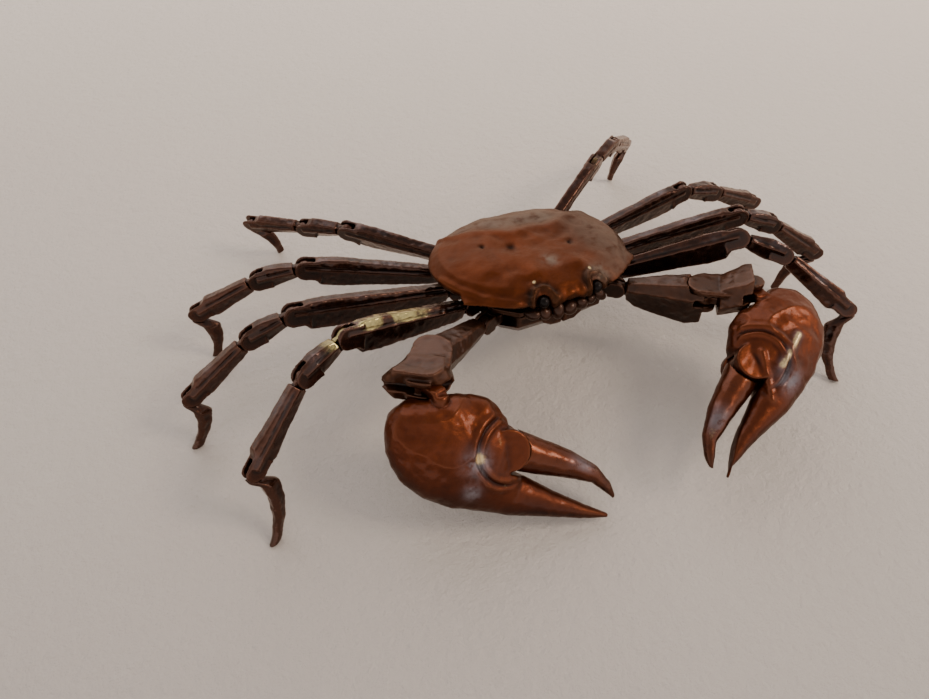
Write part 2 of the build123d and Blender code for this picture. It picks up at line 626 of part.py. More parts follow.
def thorax():
    """Lower body casting: a keel-shaped sternum with a raised core between the rows of hips."""
    deck = Plane(shifted(BODY, 0.0, 0.0, -PLATE_GAP))
    floor = -PLATE_GAP - THORAX_DEPTH
    outline = hip_outline(PLATE_MARGIN)
    with BuildPart() as casting:
        with BuildSketch(deck):
            Polygon(*outline, align=None)
        with BuildSketch(Plane(shifted(BODY, 0.0, 0.0, floor))):
            Polygon(*[(x * THORAX_FLOOR_SHARE, y * THORAX_FLOOR_SHARE) for x, y in outline], align=None)
        loft(ruled=True)
        extrude(hip_reliefs(deck), amount=-THORAX_DEPTH, mode=Mode.SUBTRACT)
        with BuildSketch(deck):
            Polygon(*core_outline(), align=None)
            add(hip_circles(Plane.XY, COXA_RING + TURN_PLAY), mode=Mode.SUBTRACT)
        extrude(amount=2 * PLATE_GAP)
        for _, back, _ in list(HIPS.values())[:-1]:
            with BuildSketch(Plane(shifted(BODY, 0.0, back + GROOVE_BACK, floor))):
                for sign in SIDES.values():
                    with Locations((sign * CORE_WIDTH / 2, 0)):
                        Rectangle(CORE_WAIST, GROOVE_WIDTH)
            extrude(amount=GROOVE_DEPTH, mode=Mode.SUBTRACT)
        extrude(hip_circles(deck, HIP_PIN + SEAT_PLAY), amount=-HIP_PIN_BITE, mode=Mode.SUBTRACT)
        for place in screw_places():
            with BuildSketch(Plane(shifted(BODY, 0.0, place, floor))):
                Circle(SCREW_RADIUS + SEAT_PLAY)
            extrude(amount=THORAX_DEPTH + 2 * PLATE_GAP, mode=Mode.SUBTRACT)
            with BuildSketch(Plane(shifted(BODY, 0.0, place, floor))):
                Circle(SCREW_HEAD + SEAT_PLAY)
            extrude(amount=SCREW_HEAD_THICK + SEAT_PLAY, mode=Mode.SUBTRACT)
    return casting.part


def core_outline():
    """The raised core, clear of the coxa rings: narrower behind, where the last hips stand closer."""
    inner = [out - COXA_RING - TURN_PLAY for out, _, _ in HIPS.values()]
    wide = min(inner[:-2])
    right = [(CORE_WIDTH / 2, -THORAX_FRONT), (wide, -THORAX_FRONT / 2), (wide, HIPS["second"][1]),
             (inner[-2], HIPS["third"][1]), (inner[-1], HIPS["rear"][1]), (inner[-1], THORAX_BACK)]
    return right + [(-x, y) for x, y in reversed(right)]


def tail_flap():
    """Folded abdomen: a tapering plate of stepped rings let flat against the sternum."""
    level = -PLATE_GAP - THORAX_DEPTH
    back = THORAX_BACK * THORAX_FLOOR_SHARE
    with BuildPart() as flap:
        for index, spread in enumerate(FLAP_RING_SHARES):
            ring = FLAP_LENGTH / len(FLAP_RING_SHARES)
            after = FLAP_RING_SHARES[min(index + 1, len(FLAP_RING_SHARES) - 1)]
            top, low = back - ring * index, back - ring * (index + 1)
            with BuildSketch(Plane(turned(shifted(BODY, 0.0, 0.0, level), about_x=180))):
                Polygon((FLAP_WIDTH / 2 * spread, -top), (FLAP_WIDTH / 2 * after, -low),
                        (-FLAP_WIDTH / 2 * after, -low), (-FLAP_WIDTH / 2 * spread, -top), align=None)
            extrude(amount=FLAP_THICK * (1 - FLAP_STEP_SHARE * index))
    return flap.part


def mouth_plate(side):
    """One of the two upright plates that close the mouth under the front of the shell."""
    sign = SIDES[side]
    face = turned(shifted(BODY, 0.0, -THORAX_FRONT), about_x=90)
    with BuildPart() as plate:
        with BuildSketch(Plane(face)):
            with BuildLine():
                Polyline(*[(sign * (MOUTH_GAP + MOUTH_WIDTH * x), MOUTH_HEIGHT * y)
                           for x, y in MOUTH_SHARES], close=True)
            make_face()
        extrude(amount=MOUTH_THICK)
        outward = Axis(face.position, Plane(face).z_dir)
        chamfer(plate.faces().sort_by(outward)[-1].edges(), length=MOUTH_THICK * MOUTH_BEVEL_SHARE)
    return plate.part


def eye(sign):
    """Round eye on a stalk that sits in its hole in the socket."""
    with BuildPart() as ball:
        with Locations(eye_place(sign)):
            Sphere(EYE_RADIUS)
        with BuildSketch(Plane(turned(eye_place(sign), about_x=-90))):
            Circle(STALK_RADIUS)
        extrude(amount=STALK_LENGTH)
    return ball.part


def hip_pins():
    """The ten upright pins, from the thorax into the plate above."""
    bite = HIP_PIN_BITE - SEAT_PLAY
    with BuildPart() as pins:
        for sign in SIDES.values():
            for out, back, _ in HIPS.values():
                with BuildSketch(Plane(shifted(BODY, sign * out, back, -PLATE_GAP - bite))):
                    Circle(HIP_PIN)
        extrude(amount=2 * (PLATE_GAP + bite))
    return pins.part


def body_screws():
    """Two screws from under the thorax into the posts of the carapace."""
    floor = -PLATE_GAP - THORAX_DEPTH
    length = CARAPACE_SEAT - floor + SCREW_BITE
    with BuildPart() as screws:
        for place in screw_places():
            with BuildSketch(Plane(shifted(BODY, 0.0, place, floor + SEAT_PLAY))):
                Circle(SCREW_RADIUS)
            extrude(amount=length - SEAT_PLAY)
            with BuildSketch(Plane(shifted(BODY, 0.0, place, floor + SEAT_PLAY))):
                Circle(SCREW_HEAD)
            extrude(amount=SCREW_HEAD_THICK - SEAT_PLAY)
    return screws.part


for side in SIDES:
    for station, limb in LIMBS.items():
        frames, tip, lean = limb_frames(side, station)
        heading = (limb.left if side == "left" else limb.right)[0]
        name = f"{side}_{station}"
        save(coxa(side, station, heading, lean, LIFT), f"{name}_coxa")
        merus, carpus, propodus, _ = limb.lengths
        save(limb_segment(frames[1], merus, LIFT, KNEE, MERUS_SHARES, MERUS_TOP, MERUS_KEEL, LIMB_WIDTH),
             f"{name}_merus")
        save(limb_segment(frames[2], carpus, KNEE, SHIN, CARPUS_SHARES, CARPUS_TOP, CARPUS_KEEL, LIMB_WIDTH),
             f"{name}_carpus")
        save(limb_segment(frames[3], propodus, SHIN, FOOT, PROPODUS_SHARES, PROPODUS_TOP, PROPODUS_KEEL,
                          SHIN_WIDTH), f"{name}_propodus")
        save(dactyl(frames[4], limb.lengths[3], FOOT), f"{name}_dactyl")
    claw = CLAWS[side]
    save(coxa(side, "claw", claw.heading, 0.0, CLAW_LIFT), f"{side}_claw_coxa")
    save(claw_merus(side), f"{side}_claw_merus")
    save(claw_carpus(side), f"{side}_claw_carpus")
    save(claw_palm(side), f"{side}_claw_palm")
    save(claw_finger(side), f"{side}_claw_finger")
    save(eye(SIDES[side]), f"{side}_eye")
    save(mouth_plate(side), f"{side}_mouth_plate")

save(carapace(), "carapace")
save(hip_plate(), "hip_plate")
save(thorax(), "thorax")
save(tail_flap(), "tail_flap")
save(hip_pins(), "hip_pins")
save(body_screws(), "body_screws")
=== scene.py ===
# %% [markdown]
# # An articulated bronze crab
#
# The CAD model gives sixty castings and fifty hinges. Here each visible casting is turned into a
# hand-worked bronze surface: its solid is remeshed finely, softened, given cast lumps and creases,
# and then coloured from what its own surface knows: where it is convex, hollow, high or low.
# Sculpting by hand would look as good, but a script can be read, changed and run again.

# %% Load the frame
import bpy
import bmesh
import json
import math
import numpy as np
from mathutils import Matrix, Vector

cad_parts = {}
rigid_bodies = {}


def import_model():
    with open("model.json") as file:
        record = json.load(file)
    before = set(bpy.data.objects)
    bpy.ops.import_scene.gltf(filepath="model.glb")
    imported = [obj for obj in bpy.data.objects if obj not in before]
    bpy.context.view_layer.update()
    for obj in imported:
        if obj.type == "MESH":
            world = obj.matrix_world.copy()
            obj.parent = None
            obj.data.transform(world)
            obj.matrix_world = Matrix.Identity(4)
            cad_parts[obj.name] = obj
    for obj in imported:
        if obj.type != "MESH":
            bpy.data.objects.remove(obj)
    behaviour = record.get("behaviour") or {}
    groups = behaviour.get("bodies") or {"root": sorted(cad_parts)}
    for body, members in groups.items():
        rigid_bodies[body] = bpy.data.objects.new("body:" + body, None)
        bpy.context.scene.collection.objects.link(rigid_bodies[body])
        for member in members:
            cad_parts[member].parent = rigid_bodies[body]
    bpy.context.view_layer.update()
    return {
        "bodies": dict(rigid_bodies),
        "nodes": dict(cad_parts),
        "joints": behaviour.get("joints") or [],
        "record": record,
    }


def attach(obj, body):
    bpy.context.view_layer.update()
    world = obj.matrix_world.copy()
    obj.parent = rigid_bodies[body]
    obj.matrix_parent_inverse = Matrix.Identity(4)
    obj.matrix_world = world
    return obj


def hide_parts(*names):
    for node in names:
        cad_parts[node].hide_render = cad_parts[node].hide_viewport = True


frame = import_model()
nodes = frame["nodes"]
joints = frame["joints"]
slot_of = {part["node"]: part["material_slot"] for part in frame["record"]["subparts"]}
MM = 1000.0

# %% [markdown]
# ## Directions of a limb
#
# Every limb piece is worked in its own directions: `x` runs from its hinge to the next one, `z` is
# the hinge's axis and `y` points up out of the limb. They could be typed in for each leg, but they
# are read from the hinges of the CAD model, so the work follows the castings wherever they stand.

# %% Limb frames from the hinges
hinge_of = {joint["child"]: joint for joint in joints}
next_hinge = {joint["parent"]: joint for joint in joints if joint["parent"] != "body"}


def place(joint):
    """Where a hinge stands, in millimetres."""
    return np.array(joint["pos_m"]) * MM


def farthest(points, start):
    return points[np.argmax(((points - start) ** 2).sum(1))]


def limb_frame(name, points):
    """Origin, the rows x, y and z, and the length of a limb piece, in millimetres."""
    own = hinge_of[name]
    origin = place(own)
    z = np.array(own["axis"], float)
    end = place(next_hinge[name]) if name in next_hinge else farthest(points, origin)
    x = end - origin
    x -= z * (x @ z)
    length = np.linalg.norm(x)
    x /= length
    return origin, np.stack([x, np.cross(z, x), z]), length


print("limb pieces", len(hinge_of), "first knee at", np.round(place(next_hinge["left_front_merus"]), 1))

# %% [markdown]
# ## Directions of the body
#
# The body leans back and to one side on its legs. Its own `x` runs to the crab's left, `y` to the
# back and `z` out of the shell, measured from the level of the hips, so that marks on the shell can
# be placed as on a flat drawing of it.

# %% Body directions
LEAN_BACK, LEAN_SIDE = math.radians(-9.0), math.radians(4.5)
BODY_TURN = Matrix.Rotation(LEAN_BACK, 3, "X") @ Matrix.Rotation(LEAN_SIDE, 3, "Y")
BODY_AXES = np.array(BODY_TURN.transposed())
BODY_ORIGIN = np.array((3.03, 2.77, 13.156))


def in_body(x, y, z):
    """A place given in the body's directions, as world millimetres."""
    return BODY_ORIGIN + np.array((x, y, z)) @ BODY_AXES


print("body up", np.round(BODY_AXES[2], 3), "hip axis", hinge_of["left_claw_coxa"]["axis"])

# %% [markdown]
# ## Smooth steps
#
# A value that jumps from 0 to 1 leaves a cut in the bronze. `step` rises smoothly between two
# values, and `bell` is a soft bump round one. Nearly all of the carving is sums and products of them.

# %% Steps and bells


def step(low, high, value):
    t = np.clip((value - low) / (high - low), 0.0, 1.0)
    return t * t * (3 - 2 * t)


def bell(middle, spread, value):
    return np.exp(-((value - middle) / spread) ** 2)


print("halfway up a step", float(step(0.0, 1.0, 0.5)), "beside a bell", round(float(bell(0.0, 1.0, 1.0)), 3))

# %% [markdown]
# ## Noise
#
# The casting's lumps come from value noise: random numbers on a grid of cubes, blended smoothly.
# Blender has noise of its own, but one written here gives the same lumps on every run and works
# on thousands of points at a time.

# %% Noise in NumPy


def hashed(i, j, k, seed):
    """A number from 0 to 1 that only depends on the cube and the seed."""
    h = (i * 374761393 + j * 668265263 + k * 1440662683 + seed * 1013904223) & 0xFFFFFFFF
    h = ((h ^ (h >> 13)) * 1274126177) & 0xFFFFFFFF
    return ((h ^ (h >> 16)) & 0xFFFF) / 65535.0


def noise(points, size, seed):
    """Smooth noise from -1 to 1 with lumps about as wide as size, in millimetres."""
    q = points / size
    cell = np.floor(q).astype(np.int64)
    f = q - cell
    f = f * f * (3 - 2 * f)
    total = np.zeros(len(points))
    for dx in (0, 1):
        for dy in (0, 1):
            for dz in (0, 1):
                weight = (np.abs(1 - dx - f[:, 0]) * np.abs(1 - dy - f[:, 1]) * np.abs(1 - dz - f[:, 2]))
                total += weight * hashed(cell[:, 0] + dx, cell[:, 1] + dy, cell[:, 2] + dz, seed)
    return total * 2 - 1


def lumps(points, size, seed):
    """Three sizes of noise on top of each other."""
    return (noise(points, size, seed) + 0.5 * noise(points, size / 2.1, seed + 7)
            + 0.25 * noise(points, size / 4.3, seed + 13)) / 1.75


def ridged(points, size, seed):
    """Sharp winding ridges, near 1 along them and near 0 between."""
    return (1 - np.abs(noise(points, size, seed))) ** 4


sample = np.random.default_rng(1).uniform(-30.0, 30.0, (2000, 3))
print("lumps reach", np.round([lumps(sample, 5.0, 1).min(), lumps(sample, 5.0, 1).max()], 2))

# %% [markdown]
# ## Marks at chosen places
#
# Some marks of the figurine stand at one place only, such as a glint on a palm or a pit in the
# shell. `spot` fades away from a point, and `stroke` from a line of points.

# %% Spots and strokes


def spot(points, at, size):
    """A soft round mark about a place."""
    return np.exp(-((points - np.array(at)) ** 2).sum(1) / size ** 2)


def stroke(points, path, size):
    """A soft mark along a line of places."""
    nearest = np.full(len(points), np.inf)
    for start, end in zip(np.array(path[:-1], float), np.array(path[1:], float)):
        run = end - start
        share = np.clip((points - start) @ run / (run @ run), 0.0, 1.0)
        nearest = np.minimum(nearest, ((points - start - share[:, None] * run) ** 2).sum(1))
    return np.exp(-nearest / size ** 2)


print("points inside a 10 mm spot", int((spot(sample, (0, 0, 0), 10.0) > 0.37).sum()), "of", len(sample))

# %% [markdown]
# ## From solid to casting
#
# A CAD node arrives as loose triangles. It is welded, rebuilt as even small cells by a voxel
# remesh, and relaxed a little, so that sharp machined corners become the soft ones of a casting.
# A bevel would round the corners too, but leaves large flat faces that can't be carved.

# %% Remeshing
WELD = 1e-6


def remeshed(node, voxel, relax):
    """The node's solid as a fine even mesh in millimetres."""
    bm = bmesh.new()
    bm.from_mesh(nodes[node].data)
    bmesh.ops.remove_doubles(bm, verts=bm.verts, dist=WELD)
    bmesh.ops.scale(bm, vec=(MM, MM, MM), verts=bm.verts)
    bmesh.ops.recalc_face_normals(bm, faces=bm.faces)
    mesh = bpy.data.meshes.new(node + "_cast")
    bm.to_mesh(mesh)
    bm.free()
    obj = bpy.data.objects.new(node + "_cast", mesh)
    bpy.context.scene.collection.objects.link(obj)
    cells = obj.modifiers.new("cells", "REMESH")
    cells.mode = "VOXEL"
    cells.voxel_size = voxel
    soften = obj.modifiers.new("soften", "SMOOTH")
    soften.factor = 0.5
    soften.iterations = relax
    graph = bpy.context.evaluated_depsgraph_get()
    fine = bpy.data.meshes.new_from_object(obj.evaluated_get(graph))
    obj.modifiers.clear()
    obj.data = fine
    return obj


print("a welded node keeps points that are more than", WELD * MM, "mm apart")

# %% [markdown]
# ## Reading a surface
#
# NumPy works on all points of a mesh at once, so they are copied out, changed and copied back.
# `blurred` pulls every point to the middle of its neighbours a number of times: set against this
# blurred copy, a point knows whether it stands on an edge or in a hollow.

# %% Reading a surface


def coordinates(mesh):
    co = np.empty(len(mesh.vertices) * 3)
    mesh.vertices.foreach_get("co", co)
    return co.reshape(-1, 3)


def normals(mesh):
    no = np.empty(len(mesh.vertices) * 3)
    mesh.vertices.foreach_get("normal", no)
    return no.reshape(-1, 3)


def ends_of_edges(mesh):
    ends = np.empty(len(mesh.edges) * 2, np.int64)
    mesh.edges.foreach_get("vertices", ends)
    return ends.reshape(-1, 2)


def blurred(points, edges, rounds):
    count = len(points)
    a, b = edges[:, 0], edges[:, 1]
    share = np.bincount(a, minlength=count) + np.bincount(b, minlength=count)
    for _ in range(rounds):
        total = np.stack([np.bincount(a, points[b, c], count) + np.bincount(b, points[a, c], count)
                          for c in range(3)], 1)
        points = total / np.maximum(share, 1)[:, None]
    return points


print("the shell's own mesh has", len(nodes["carapace"].data.vertices), "points before the remesh")

# %% [markdown]
# ## Handing a piece over
#
# On real bronze hands polish the edges and the dark patina stays in the hollows. Both are measured
# here and stored on the mesh for the materials, beside the tone, with light painted on faces turned
# up, the gold of bare metal and painted glints, and the painted sheen, all as the piece asks for them.
# Then the piece takes its CAD node's place and rides on the node's body.

# %% Finishing a piece
made = []


def store(mesh, name, values):
    attribute = mesh.attributes.new(name, "FLOAT", "POINT")
    attribute.data.foreach_set("value", np.clip(values, 0.0, 1.0).astype(np.float32))


def smooth_shaded(mesh):
    mesh.polygons.foreach_set("use_smooth", np.ones(len(mesh.polygons), bool))


def finish_piece(obj, node, points, tone=0.0, gold=0.0, sheen=0.0, blur=14, proud=0.05):
    """Puts the worked points back in metres, stores what the materials read, and hands the piece over."""
    mesh = obj.data
    mesh.vertices.foreach_set("co", points.ravel())
    mesh.update()
    height = ((points - blurred(points, ends_of_edges(mesh), blur)) * normals(mesh)).sum(1)
    store(mesh, "edge", height / proud)
    store(mesh, "hollow", -height / proud)
    flat = np.zeros(len(points))
    # tone: the piece's own tone, with painted light and shade where the piece asks for them
    store(mesh, "tone", flat + tone)
    # gold: bare metal, and painted glints on the palms and fingers
    store(mesh, "gold", flat + gold)
    # sheen: a painted highlight, the sheen and glints of reflected light
    store(mesh, "sheen", flat + sheen)
    mesh.vertices.foreach_set("co", (points / MM).ravel())
    smooth_shaded(mesh)
    mesh.materials.clear()
    mesh.materials.append(material[slot_of[node]])
    mesh.update()
    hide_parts(node)
    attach(obj, "body" if node not in frame["bodies"] else node)
    made.append((obj.name, len(mesh.polygons)))


print("stored on each casting: edge, hollow, tone, gold, sheen")

# %% [markdown]
# ## Joining nodes
#
# A material is a graph of small nodes. Added one by one in the editor they are easy to see, but in
# a script each costs several lines, so this helper adds a node and joins its inputs in one call.

# %% Short ways to add nodes


class Wiring:
    """Adds and joins nodes in one tree."""

    def __init__(self, tree):
        self.new, self.link = tree.nodes.new, tree.links.new
        self.coords = self.new("ShaderNodeTexCoord")

    def cloud(self, scale, detail, rough):
        node = self.new("ShaderNodeTexNoise")
        node.inputs["Scale"].default_value = scale
        node.inputs["Detail"].default_value = detail
        node.inputs["Roughness"].default_value = rough
        self.link(self.coords.outputs["Object"], node.inputs["Vector"])
        return node.outputs["Fac"]

    def stored(self, name):
        node = self.new("ShaderNodeAttribute")
        node.attribute_name = name
        return node.outputs["Fac"]

    def math(self, kind, *values, clamp=False):
        node = self.new("ShaderNodeMath")
        node.operation = kind
        node.use_clamp = clamp
        for socket, value in zip(node.inputs, values):
            if isinstance(value, (int, float)):
                socket.default_value = value
            else:
                self.link(value, socket)
        return node.outputs[0]

    def about_zero(self, value, strength):
        return self.math("MULTIPLY", self.math("SUBTRACT", value, 0.5), strength)

    def ramped(self, value, low, high):
        node = self.new("ShaderNodeMapRange")
        node.interpolation_type = "SMOOTHSTEP"
        node.inputs["From Min"].default_value = low
        node.inputs["From Max"].default_value = high
        self.link(value, node.inputs["Value"])
        return node.outputs["Result"]

    def mixed(self, factor, a, b, blend="MIX"):
        node = self.new("ShaderNodeMix")
        node.data_type = "RGBA"
        node.blend_type = blend
        self.link(factor, node.inputs["Factor"])
        self.link(a, node.inputs["A"])
        if isinstance(b, tuple):
            node.inputs["B"].default_value = b
        else:
            self.link(b, node.inputs["B"])
        return node.outputs["Result"]

    def bump(self, height, strength, distance):
        node = self.new("ShaderNodeBump")
        node.inputs["Distance"].default_value = distance
        if isinstance(strength, float):
            node.inputs["Strength"].default_value = strength
        else:
            self.link(strength, node.inputs["Strength"])
        self.link(height, node.inputs["Height"])
        return node.outputs["Normal"]


print("ways to add nodes", [name for name in vars(Wiring) if not name.startswith("_")])

# %% [markdown]
# ## Colour of the patina, with painted light
#
# Real patina is a thin dark brown layer, warmer where it is thin, almost black in hollows, rubbed
# through on edges, with bare metal at a few spots. Light is painted on top of it: a lighter tone on
# faces turned up, gold glints, and a bluish sheen where light grazes it. Each of these is one mix on
# top of the last, steered by what the piece has stored and broken by noise.

# %% Patina colour
HOLLOW_TINT = (0.12, 0.08, 0.07, 1)


def patina_and_light_color(w, gin, broad, middle, fine):
    """The colour's socket, and how far each place is rubbed."""
    drift = w.math("ADD", w.about_zero(broad, 2.6), w.about_zero(middle, 1.6))
    tone = w.math("ADD", w.stored("tone"), w.math("MULTIPLY", drift, gin["Mottle"]), clamp=True)
    color = w.mixed(tone, gin["Dark"], gin["Warm"])
    color = w.mixed(w.math("MULTIPLY", w.stored("hollow"), 0.85, clamp=True), color, HOLLOW_TINT, "MULTIPLY")
    # painted sheen: a bluish highlight mixed in where the piece stores its sheen
    painted_sheen_amount = w.math("MULTIPLY", w.stored("sheen"), w.ramped(middle, 0.25, 0.6), clamp=True)
    color = w.mixed(painted_sheen_amount, color, gin["PaintedSheen"])
    rubbed = w.math("ADD", w.stored("edge"), w.about_zero(fine, 1.2))
    rubbed = w.math("MULTIPLY", w.ramped(rubbed, 0.3, 1.0), gin["Wear"], clamp=True)
    color = w.mixed(rubbed, color, gin["Worn"])
    # bare metal, and painted gold glints on the palms and fingers
    gold = w.stored("gold")
    broken = w.math("ADD", w.math("MULTIPLY", gold, 0.75), w.math("MULTIPLY", fine, 0.5))
    bare_and_glint = w.math("MULTIPLY", w.ramped(broken, 0.5, 0.95), w.ramped(gold, 0.02, 0.3), clamp=True)
    return w.mixed(bare_and_glint, color, gin["GoldAndGlint"]), rubbed


print("hollows are tinted", HOLLOW_TINT[:3])

# %% [markdown]
# ## The patina group, with painted light
#
# Seven finishes share the effect, so it is one node group with named inputs. Beside the colour it
# gives the roughness, duller in hollows and shinier on rubbed edges, the metal's share, and a fine
# bump for the grain of the casting.

# %% The patina group
COLOR_INPUTS = ("Dark", "Warm", "Worn", "GoldAndGlint", "PaintedSheen")
VALUE_INPUTS = ("Mottle", "Wear", "Smoothness", "Grain")
OUTPUTS = {"Color": "Base Color", "Roughness": "Roughness", "Metallic": "Metallic", "Normal": "Normal"}
SOCKET_KINDS = {"Color": "NodeSocketColor", "Normal": "NodeSocketVector"}


def patina_and_light_group():
    group = bpy.data.node_groups.new("bronze_patina_and_light", "ShaderNodeTree")
    for name in COLOR_INPUTS:
        group.interface.new_socket(name, in_out="INPUT", socket_type="NodeSocketColor")
    for name in VALUE_INPUTS:
        group.interface.new_socket(name, in_out="INPUT", socket_type="NodeSocketFloat")
    for name in OUTPUTS:
        group.interface.new_socket(name, in_out="OUTPUT", socket_type=SOCKET_KINDS.get(name, "NodeSocketFloat"))
    w = Wiring(group)
    gin, gout = w.new("NodeGroupInput").outputs, w.new("NodeGroupOutput").inputs
    broad, middle, fine = w.cloud(170.0, 4.0, 0.55), w.cloud(620.0, 5.0, 0.6), w.cloud(2600.0, 4.0, 0.65)
    color, rubbed = patina_and_light_color(w, gin, broad, middle, fine)
    rough = w.math("SUBTRACT", w.math("ADD", 0.34, w.math("MULTIPLY", middle, 0.42)),
                   w.math("MULTIPLY", gin["Smoothness"], 0.3))
    rough = w.math("ADD", rough, w.math("MULTIPLY", w.stored("hollow"), 0.2))
    rough = w.math("SUBTRACT", rough, w.math("MULTIPLY", rubbed, 0.08))
    grain = w.math("ADD", w.math("MULTIPLY", middle, 0.7), w.math("MULTIPLY", fine, 0.45))
    w.link(color, gout["Color"])
    w.link(w.math("MAXIMUM", rough, 0.16), gout["Roughness"])
    w.link(w.math("ADD", 0.82, w.math("MULTIPLY", rubbed, 0.15), clamp=True), gout["Metallic"])
    w.link(w.bump(grain, gin["Grain"], 0.00022), gout["Normal"])
    return group


PATINA_AND_LIGHT = patina_and_light_group()
print("patina nodes", len(PATINA_AND_LIGHT.nodes))

# %% [markdown]
# ## Seven finishes
#
# The shell is orange brown with a painted olive sheen, the claws a redder brown, the legs nearly black
# and glossy, and the arms and plates dull. Each finish is the same group with its own colours and
# values. The clear coat stands for the wax that such figurines are rubbed with.

# %% Finishes
# The gold colour serves for bare metal and painted glints; the grey one, and each finish's own bluish or olive
# one, colours the painted sheen.
GOLD_AND_GLINT, SHEEN_GREY = (0.60, 0.45, 0.24), (0.20, 0.205, 0.24)
FINISHES = {
    "shell_bronze": dict(Dark=(0.020, 0.008, 0.004), Warm=(0.108, 0.0215, 0.0040), Worn=(0.16, 0.050, 0.016),
                         PaintedSheen=(0.170, 0.122, 0.092), Mottle=0.16, Wear=0.18, Smoothness=0.45, Grain=0.35,
                         coat=0.03),
    "leg_bronze": dict(Dark=(0.009, 0.0033, 0.002), Warm=(0.058, 0.0145, 0.005), Worn=(0.12, 0.042, 0.02),
                       GoldAndGlint=(0.33, 0.27, 0.11), PaintedSheen=(0.11, 0.092, 0.10), Mottle=0.30, Wear=0.3,
                       Smoothness=1.0, Grain=0.14, coat=0.35),
    "claw_bronze": dict(Dark=(0.020, 0.005, 0.003), Warm=(0.105, 0.021, 0.0048), Worn=(0.15, 0.045, 0.016),
                        PaintedSheen=(0.20, 0.18, 0.20), Mottle=0.22, Wear=0.22, Smoothness=0.60, Grain=0.30,
                        coat=0.15),
    "finger_bronze": dict(Dark=(0.018, 0.0045, 0.003), Warm=(0.115, 0.025, 0.006), Worn=(0.16, 0.05, 0.016),
                          PaintedSheen=(0.22, 0.20, 0.22), Mottle=0.18, Wear=0.25, Smoothness=0.80, Grain=0.2,
                          coat=0.25),
    "plate_bronze": dict(Dark=(0.011, 0.005, 0.003), Warm=(0.080, 0.027, 0.012), Worn=(0.13, 0.05, 0.025),
                         Mottle=0.26, Wear=0.3, Smoothness=0.50, Grain=0.40, coat=0.25),
    "pin_brass": dict(Dark=(0.08, 0.045, 0.02), Warm=(0.34, 0.2, 0.09), Worn=(0.6, 0.42, 0.2),
                      Mottle=0.4, Wear=0.5, Smoothness=0.4, Grain=0.4, coat=0.1),
    "eye_bronze": dict(Dark=(0.006, 0.004, 0.004), Warm=(0.03, 0.018, 0.014), Worn=(0.12, 0.07, 0.04),
                       Mottle=0.4, Wear=0.1, Smoothness=0.45, Grain=0.3, coat=0.1),
}


def bronze(name, coat, GoldAndGlint=GOLD_AND_GLINT, PaintedSheen=SHEEN_GREY, **values):
    """One finish: the patina group with its own values in front of the surface shader."""
    mat = bpy.data.materials.new(name)
    mat.use_nodes = True
    shader = mat.node_tree.nodes["Principled BSDF"]
    group = mat.node_tree.nodes.new("ShaderNodeGroup")
    group.node_tree = PATINA_AND_LIGHT
    for socket, value in dict(values, GoldAndGlint=GoldAndGlint, PaintedSheen=PaintedSheen).items():
        group.inputs[socket].default_value = (*value, 1) if socket in COLOR_INPUTS else value
    for out, into in OUTPUTS.items():
        mat.node_tree.links.new(group.outputs[out], shader.inputs[into])
    shader.inputs["Coat Weight"].default_value = coat
    shader.inputs["Coat Roughness"].default_value = 0.14
    shader.inputs["Specular IOR Level"].default_value = 0.3
    shader.inputs["Specular Tint"].default_value = (0.90, 0.74, 0.64, 1)
    return mat


material = {name: bronze(name, **values) for name, values in FINISHES.items()}
for node, obj in nodes.items():
    obj.data.materials.clear()
    obj.data.materials.append(material[slot_of[node]])
print("finishes", list(material))

# %% [markdown]
# ## Walking legs: shape
#
# The knuckles keep their exact shape so that they can turn. Between them each piece swells the way
# the castings do: a deep keel under the long upper leg, a broad end on the shin, and a hooked foot
# that bows towards the body. Stretching the fine mesh across its length is enough for that.

# %% Shape of a leg casting
SIDES = ("left", "right")
STATIONS = ("front", "second", "third", "rear")
LEG_CELLS = {"merus": 0.17, "carpus": 0.14, "propodus": 0.15, "dactyl": 0.13}


def leg_shape(kind, u, v, w, length, free):
    """Moves the surface along, up and across the limb; free is 0 on the knuckles."""
    t = np.clip(u / length, 0.0, 1.0)
    if kind == "merus":
        v = np.where(v < 0, v * (1 + 0.42 * free * (0.35 + 0.65 * t)), v * (1 + 0.10 * free))
    elif kind == "carpus":
        v = v * (1 + 0.10 * free)
    elif kind == "propodus":
        v = v * (1 + free * (0.04 + 0.42 * t * t))
        beyond = u - length
        swell = 0.36 * bell(0.5, 0.9, np.arctan2(v, beyond))
        swell = swell * step(0.7, 1.3, np.hypot(beyond, v)) * step(-2.5, -0.5, beyond)
        u, v = length + beyond * (1 + swell), v * (1 + swell)
    else:
        bow = 4 * length * t * (1 - t)
        hook = step(0.9, 3.0, u)
        blunt = 1 + 0.35 * step(0.8, 1.0, t)
        v = v * (1 - hook) + hook * ((v - 0.13 * bow) * 1.4 * blunt - 0.15 * bow)
        w = w * (1 + 0.42 * free) * blunt
    crease = bell(0.9, 0.28, v) * free * step(0.7, 1.2, np.abs(w))
    return u, v, w - np.sign(w) * 0.13 * crease


print("cells of a leg's pieces, in mm", LEG_CELLS)

# %% [markdown]
# ## Walking legs: patina
#
# The legs are nearly black, painted a little warmer on top as light falling from above, with a
# painted sheen on their upper faces. The nearest leg has lost its patina on one long patch, where pale
# gold metal shows, and the far leg on the other side is painted a lighter brown, as lit, with paler
# painted light on its tops.

# %% Bare patches and the eight legs
LEG_TONE = {"merus": 0.16, "carpus": 0.24, "propodus": 0.42, "dactyl": 0.28}


